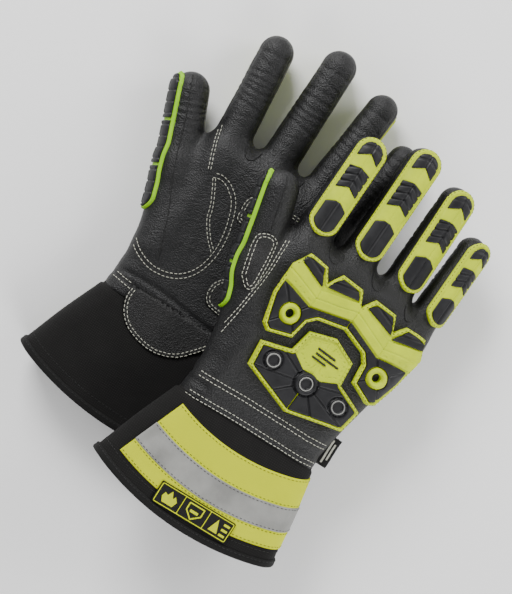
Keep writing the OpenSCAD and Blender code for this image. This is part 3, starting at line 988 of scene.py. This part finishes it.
PALM_PAD = [(-6.4, 19), (-6.4, 27), (-2, 33.6), (5, 36), (33, 36), (42, 33), (46.6, 25), (46.6, 18), (42, 11),
            (33, 8.2), (3, 10.2), (-5, 12.4)]


def build_seams(side):
    """White stitching on the leather, in single and double rows."""
    rows = [([(-60, y - 1.5), (-20, y), (30, y), (49, y + 1)], 1) for y in (-53, -56, -67, -70)]
    for points, gap, up in ((SIDE_SEAM, -1.9, 1), (THUMB_ARC, -3.0, -1), (LEAF, 1.9, -1),
                            (FINGER_SEAM, 1.8, -1)):
        path = smooth_path(points)
        rows += [(path, up), (beside(path, gap), up)]
    rows += [([(-56, y - 1.5), (-38, y - 3.5)], -1) for y in (-57.5, -61)]
    parts = []
    for path, up in rows:
        line = resample(path, PATH_STEP)
        # Only where the leather is thick enough under it
        line = line[hand_sdf(np.concatenate([line, np.zeros((len(line), 1))], 1), side) < -2.5]
        if len(line) > 4:
            parts.append(thread(*surface_path(side, line, up, 0.1)))
    emit("stitches", side, join(parts), "white_thread")


# Length of the cuff's turned-in hem, the label's corner, width and length, the binding's section as
# (distance from the edge, height), the two ends of the tape round the cuff, and where the tape and
# the stripe on it begin and end along the cuff
HEM = 14
LABEL_X, LABEL_Y, LABEL_W, LABEL_L = 46.5, -66.0, 10.5, 21.0
BINDING = [(-5.2, 0.1), (-5.1, 0.8), (-4.4, 1.15), (-1.0, 1.15), (-0.2, 0.6),
           (0, -0.6), (0, -3.2), (-0.5, -4.0), (-4.4, -4.1), (-5.0, -3.4)]
TAPE_Q = (-0.144, 1.5)
TAPE_RHO = (ARC_R - 62.5, ARC_R - 13)
STRIPE_RHO = (ARC_R - 42.5, ARC_R - 25)


def cuff_core(y):
    """Left and right end of the cuff's flat middle."""
    t = (-65 - y) / 100
    return -40 - 40 * t, 33 + 19 * t


def body_sdf(p, side):
    """The leather hand and the cuff behind it."""
    left, right = cuff_core(p[..., 1])
    off = np.maximum(np.abs(p[..., 0] - (left + right) / 2) - (right - left) / 2, 0)
    cuff = np.hypot(off, p[..., 2]) - CUFF_R + np.where(p[..., 1] > -62, 50, 0)
    return np.minimum(hand_sdf(p, side), cuff)


def sewn_patch(name, side, polygon, up, thick, insets=(1.2, 3.2), below=200.0):
    """A patch sewn on the hand with rows of white stitches inside its edge, where y is under below."""
    polygon = [tuple(p) for p in smooth_path(polygon + polygon[:1], 6)[:-1]]

    def shape(p):
        return sd_poly(p, polygon)

    def solid(q):
        return body_sdf(q, side)

    to3d = on_hand(side, up, solid)
    box = (*(np.min(polygon, 0) - 2), *(np.max(polygon, 0) + 2))
    v, f = relief(shape, lambda p: thick * bevel(shape(p), 0.8), to3d, box, 1.0, -0.6)
    if up < 0:
        f = f[:, ::-1]
    stands_for = "palm_patches" if name == "palm_heel" else None
    on_glove(f"{name}_leather", side, (v, f), "palm_leather", "palm_leather", stands_for)
    path = np.array(polygon + polygon[:1])
    g = gradient(shape, path + 1e-3, 0.4)
    sewn = path[:, 1] < below
    rows = []
    for inset in insets:
        line = resample((path - g * inset)[sewn], PATH_STEP)
        at = to3d(line, thick + 0.05)
        rows.append(thread(at, gradient(solid, at, 0.6)))
    on_glove(f"{name}_stitches", side, join(rows), "white_thread")


def build_palm_patch(side):
    """The reinforced parts of the palm, and the flap of its leather that lies over the cuff."""
    sewn_patch("palm_heel", side, HEEL, -1, 1.0)
    sewn_patch("palm_pad", side, PALM_PAD, -1, 0.9)
    sewn_patch("wrist_flap", side, LOBE, -1, 1.3, below=-61.5)
    sewn_patch("thumb_patch", side, THUMB_PATCH, 1, 0.8, (1.0, 3.0))


def build_webs(side):
    """Raised seams: where the fingers' side panels end, and along the middle of the thumb."""
    thumb = HANDS[side][4]
    tip = thumb.pivot + thumb.along * (thumb.length - 3)
    middle = thumb.pivot + thumb.along * 22
    front = smooth_path([tip, middle, (-56, 14), (-45, -8), (-33, -40)], 10)
    back = smooth_path([tip, middle, thumb.pivot + thumb.along * 12], 10)
    emit("seam", side, join([thread(*surface_path(side, front, -1, -0.05), 3.4, -0.9, 0.4),
                             thread(*surface_path(side, back, 1, -0.05), 3.4, -0.9, 0.4)]),
         "black_thread")
    parts = []
    fingers = HANDS[side][:4]
    for a, b in zip(fingers, fingers[1:]):
        mid = (a.pivot + b.pivot) / 2 + (0, -3)
        for up in (1, -1):
            t = np.linspace(-0.5, 0.5, 9)[:, None] * math.pi
            loop = mid + np.concatenate([5.2 * np.sin(t), -9 * np.cos(t)], 1) + (0, 3)
            parts.append(thread(*surface_path(side, loop, up, 0.0), 3.2, -0.6, 0.42))
    on_glove("hand_web_seams", side, join(parts), "black_thread")


# ---- the cuff ----
def cuff_map(q_rho, h):
    """Takes a place round the cuff, a distance from the arc's centre and a height to the cuff.
    Round the cuff, 0 to 1 is its back, 1 to 2 the little finger's side, 2 to 3 its front."""
    q, rho = q_rho[:, 0] % 4, q_rho[:, 1]
    k = np.floor(q).astype(int)
    f = q - k
    start = np.clip((rho - 131) / 12, 0, 1)
    # The tube starts inside the leather hand, and its first part is straight across.
    angle = np.select([k == 1, k == 3], [f * math.pi, math.pi + f * math.pi], np.where(k == 0, 0, math.pi))
    share = np.select([k == 0, k == 1, k == 2, k == 3], [f, 1 + 0 * f, 1 - f, 0 * f])
    h = h + CUFF_R - 1.3 * (1 - start) + cuff_wave(q, rho)
    y = ARC[1] - rho
    for _ in range(6):
        left, right = cuff_core(y)
        x = left + (right - left) * share + np.sin(angle) * h
        bow = np.sqrt(np.maximum(rho ** 2 - (x - ARC[0]) ** 2, 1))
        y = ARC[1] - (start * bow + (1 - start) * rho)
    return np.stack([x, y, np.cos(angle) * h], 1)


def cuff_wave(q, rho):
    """Slow bulges of the cloth, which grow towards the opening."""
    grow = np.clip((rho - 140) / 60, 0, 1)
    return grow * (0.55 * np.sin(q * 3.1 + rho / 17) + 0.35 * np.sin(q * 6.3 - rho / 11 + 1) - 0.5)


def loft(profile, m):
    """A surface over rings of m points round the cuff. profile is a list of (distance, height)."""
    qs = np.linspace(0, 4, m, endpoint=False)
    pts = np.array([(q, r, h) for r, h in profile for q in qs])
    faces = [(i * m + j, (i + 1) * m + j, (i + 1) * m + (j + 1) % m, i * m + (j + 1) % m)
             for i in range(len(profile) - 1) for j in range(m)]
    return cuff_map(pts[:, :2], pts[:, 2]), np.array(faces)


def span(a, b, n, h):
    """A straight part of a profile, in n steps."""
    return [(a + (b - a) * i / n, h) for i in range(n + 1)]


def slab(q0, q1, r0, r1, low, high, n, m):
    """A band that covers part of the cuff, closed all round."""
    e = 0.3
    profile = [(r0, low), (r0 + e * 0.2, high - e)] + span(r0 + e, r1 - e, m, high) + [
        (r1 - e * 0.2, high - e), (r1, low)]
    qs = np.concatenate([[q0], np.linspace(q0, q1, n), [q1]])
    k = len(qs)
    pts = np.array([(q, r, low if i in (0, k - 1) else h) for r, h in profile for i, q in enumerate(qs)])
    faces = [(i * k + j, (i + 1) * k + j, (i + 1) * k + j + 1, i * k + j + 1)
             for i in range(len(profile) - 1) for j in range(k - 1)]
    return cuff_map(pts[:, :2], pts[:, 2]), np.array(faces)


def build_cuff(side):
    n = 260
    end = ARC_R - 0.3
    shell = [(129, -2.2), (129, 0)] + span(131, end - 1, 52, 0) + [(end, -0.6), (end, -1.6)] + span(
        end - 0.5, end - HEM, 8, -2.0)
    cuff = on_glove("cuff_fabric", side, loft(shell, n), "cuff_fabric", "cuff_fabric", "cuff")
    lining = span(ARC_R - 5, 131, 40, -3.4) + [(128, -4.5), (124, -9), (122, -14.5)]
    liner = on_glove("liner_fabric", side, loft(lining, n // 2), "liner_fabric", "liner_fabric", "liner")
    rim = [(ARC_R + back, h) for back, h in BINDING]
    binding = on_glove("cuff_binding_fabric", side, loft(rim, n), "binding_fabric", "binding_fabric",
                       "cuff_binding")
    tape = on_glove("hivis_tape_knit", side, slab(*TAPE_Q, *TAPE_RHO, -0.1, 0.75, 150, 44),
                    "yellow_tape", "yellow_tape", "hivis_tape")
    q0, q1 = TAPE_Q
    stripe = on_glove("reflective_stripe_film", side,
                      slab(q0 - 0.004, q1 + 0.004, *STRIPE_RHO, 0.5, 1.15, 150, 20),
                      "silver_tape", "silver_tape", "reflective_stripe")
    # Stitched lines along the tapes, then round the binding and the hem
    qs = np.linspace(q0 + 0.01, q1 - 0.01, 400)
    on_tape, on_stripe = ([ring_thread(qs, ARC_R - back, h) for back in rows]
                          for h, rows in ((0.78, (60.9, 43.7)), (1.18, (41.2, 26.3))))
    on_tape += [ring_thread(qs, ARC_R - back, 0.78) for back in (23.8, 14.6)]
    around = np.linspace(0, 4, 700)
    on_stripe += [ring_thread(around, ARC_R - back, h, 2.0, 0.9) for back, h in ((4.0, 1.2), (10.5, 0.05))]
    on_glove("tape_stitches", side, join(on_tape), "dark_thread")
    on_glove("cuff_stitches", side, join(on_stripe), "black_thread")
    build_patch(side)


def ring_thread(qs, r, h, length=1.7, gap=1.2):
    """Stitches round the cuff, over the places qs."""
    p = np.stack([qs, np.full(len(qs), r)], 1)
    at = cuff_map(p, h)
    return thread(at, cuff_map(p, h + 1.0) - at, length, gap, 0.22)


def on_cuff(p, h):
    """Takes plan points and heights to the back of the cuff."""
    left, right = cuff_core(p[:, 1])
    rho = np.hypot(p[:, 0] - ARC[0], p[:, 1] - ARC[1])
    return cuff_map(np.stack([(p[:, 0] - left) / (right - left), rho], 1), h)


def rect(p, x0, y0, x1, y1, r=0.8):
    """Signed distance to a rectangle with rounded corners."""
    c = np.abs(p - ((x0 + x1) / 2, (y0 + y1) / 2)) - ((x1 - x0) / 2 - r, (y1 - y0) / 2 - r)
    return np.linalg.norm(np.maximum(c, 0), axis=1) + np.minimum(c.max(1), 0) - r


def patch_outline(p):
    return rect(p, -36, -141, 21, -126)


def pictograms(p):
    """A frame in three parts, with a flame, a shield and a falling load."""
    d = np.abs(rect(p, -35, -140, 20, -127)) - 0.28
    for x in (-17.3, 2.2):
        d = np.minimum(d, rect(p, x - 0.25, -140, x + 0.25, -127, 0.1))
    flame = sd_poly(p, [(-30, -138), (-22, -138), (-20.5, -134), (-23, -131), (-24, -133.4), (-26.4, -128.8),
                        (-28.4, -132.6), (-30.6, -131.4), (-31.6, -134.6)])
    shield = np.abs(sd_poly(p, [(-13, -129), (-2, -129), (-2, -134), (-7.5, -138.6), (-13, -134)])) - 0.45
    bar = rect(p, -10.5, -134.4, -4.5, -132.6, 0.3)
    drop = sd_poly(p, [(6, -138), (9.4, -129), (12.8, -138)])
    rows = [rect(p, 14, y, 18.4, y + 1.6, 0.2) for y in (-131, -134.6, -138.2)]
    return np.minimum.reduce([d, flame, shield, bar, drop, *rows])


def build_patch(side):
    """The rating patch with three plain pictograms, and the woven label in the side seam."""
    patch = on_glove("rating_patch_print", side,
                     relief(patch_outline, lambda p: 1.5 + 0.4 * bevel(patch_outline(p), 0.6), on_cuff,
                            (-37, -142, 22, -125), 0.8, 0.6),
                     "printed_patch", "printed_patch", "rating_patch")
    fine = 0.28 if side == "right" else 0.5
    on_glove("rating_patch_pictograms", side,
             relief(pictograms, flat_top(2.08), on_cuff, (-36, -141, 21, -126), fine, 1.7), "yellow_tape")
    tab = on_glove("side_label_tab", side, label_tab(), "woven_label", "woven_label", "side_label")

    def on_tab(p, h):
        return np.concatenate([p, (label_z(p[:, 0], p[:, 1]) + 0.5 + h)[:, None]], 1)

    def bars(p):
        return np.minimum(rect(p, 51.2, -64, 52.6, -47, 0.3), rect(p, 53.8, -61, 55, -49, 0.3))

    box = (50.5, -65, 55.6, -46)
    on_glove("side_label_lines", side, relief(bars, flat_top(0.15), on_tab, box, 0.4, -0.1), "white_thread")


def label_z(x, y):
    """Height of the label's middle, which waves a little."""
    return (-0.4 + 0.5 * np.sin((x - LABEL_X) / LABEL_W * 2.4) * (x - 47) / 4
            + 0.25 * np.sin(22 * (y - LABEL_Y) / 63))


def label_tab():
    """The label: two grids of points, above and below its middle, and the walls between them."""
    rows, cols = 22, 9
    x, y = np.meshgrid(LABEL_X + LABEL_W * np.arange(cols + 1) / cols,
                       LABEL_Y + LABEL_L * np.arange(rows + 1) / rows)
    x, y = x.ravel(), y.ravel()
    z = label_z(x, y)
    m, size = cols + 1, len(x)
    faces = []
    for a in (i * m + j for i in range(rows) for j in range(cols)):
        faces.append((a, a + 1, a + m + 1, a + m))
        faces.append((size + a, size + a + m, size + a + m + 1, size + a + 1))
    for a in range(0, rows * m, m):
        b = a + cols
        faces.append((a, a + m, size + a + m, size + a))
        faces.append((b, size + b, size + b + m, b + m))
    for a in range(cols):
        b = rows * m + a
        faces.append((a, size + a, size + a + 1, a + 1))
        faces.append((b, b + 1, size + b + 1, size + b))
    return np.concatenate([np.stack([x, y, z + up], 1) for up in (0.55, -0.55)]), np.array(faces)


for glove in SIDES:
    build_hand(glove)
    build_plates(glove)
    for digit in range(len(DIGITS)):
        build_digit_guard(glove, digit)
    build_seams(glove)
    build_palm_patch(glove)
    build_webs(glove)
    build_cuff(glove)

# ---- stage ----
CENTRE = (0.0248, 0.0063, 0.04)
CAMERA_Z = 1.149
floor_mat = Shader("floor")
floor_mat.bump(floor_mat.noise(400.0), 0.0001, 0.05)
floor_mat.set(color=(0.95, 0.95, 0.95, 1.0), rough=0.8)
bpy.ops.mesh.primitive_plane_add(size=6, location=(0, 0, 0))
floor = bpy.context.object
floor.name = "floor"
floor.data.materials.append(floor_mat.m)


def area(name, at, size, power):
    """A soft lamp that faces the gloves."""
    data = bpy.data.lights.new(name, "AREA")
    data.energy, data.size = power, size
    lamp = bpy.data.objects.new(name, data)
    lamp.location = at
    lamp.rotation_euler = (Vector(CENTRE) - Vector(at)).to_track_quat("-Z", "Y").to_euler()
    bpy.context.collection.objects.link(lamp)


for lamp_name, lamp_at, lamp_size, watts in (("key", (-0.9, 0.9, 0.95), 0.7, 34),
                                             ("fill", (1.1, -0.8, 0.8), 0.9, 19),
                                             ("rim", (0.9, 0.9, 0.7), 0.7, 11)):
    area(lamp_name, lamp_at, lamp_size, watts)
world = bpy.data.worlds.new("world")
world.use_nodes = True
sky = world.node_tree.nodes["Background"].inputs
sky["Color"].default_value = (1, 1, 1, 1)
sky["Strength"].default_value = 0.36
bpy.context.scene.world = world

cam_data = bpy.data.cameras.new("camera")
cam_data.lens, cam_data.sensor_width = 102, 36
cam = bpy.data.objects.new("camera", cam_data)
cam.location = (CENTRE[0], CENTRE[1], CAMERA_Z)
cam.rotation_euler = (0, 0, math.atan2(0.545, 0.839))
bpy.context.collection.objects.link(cam)
bpy.context.scene.camera = cam
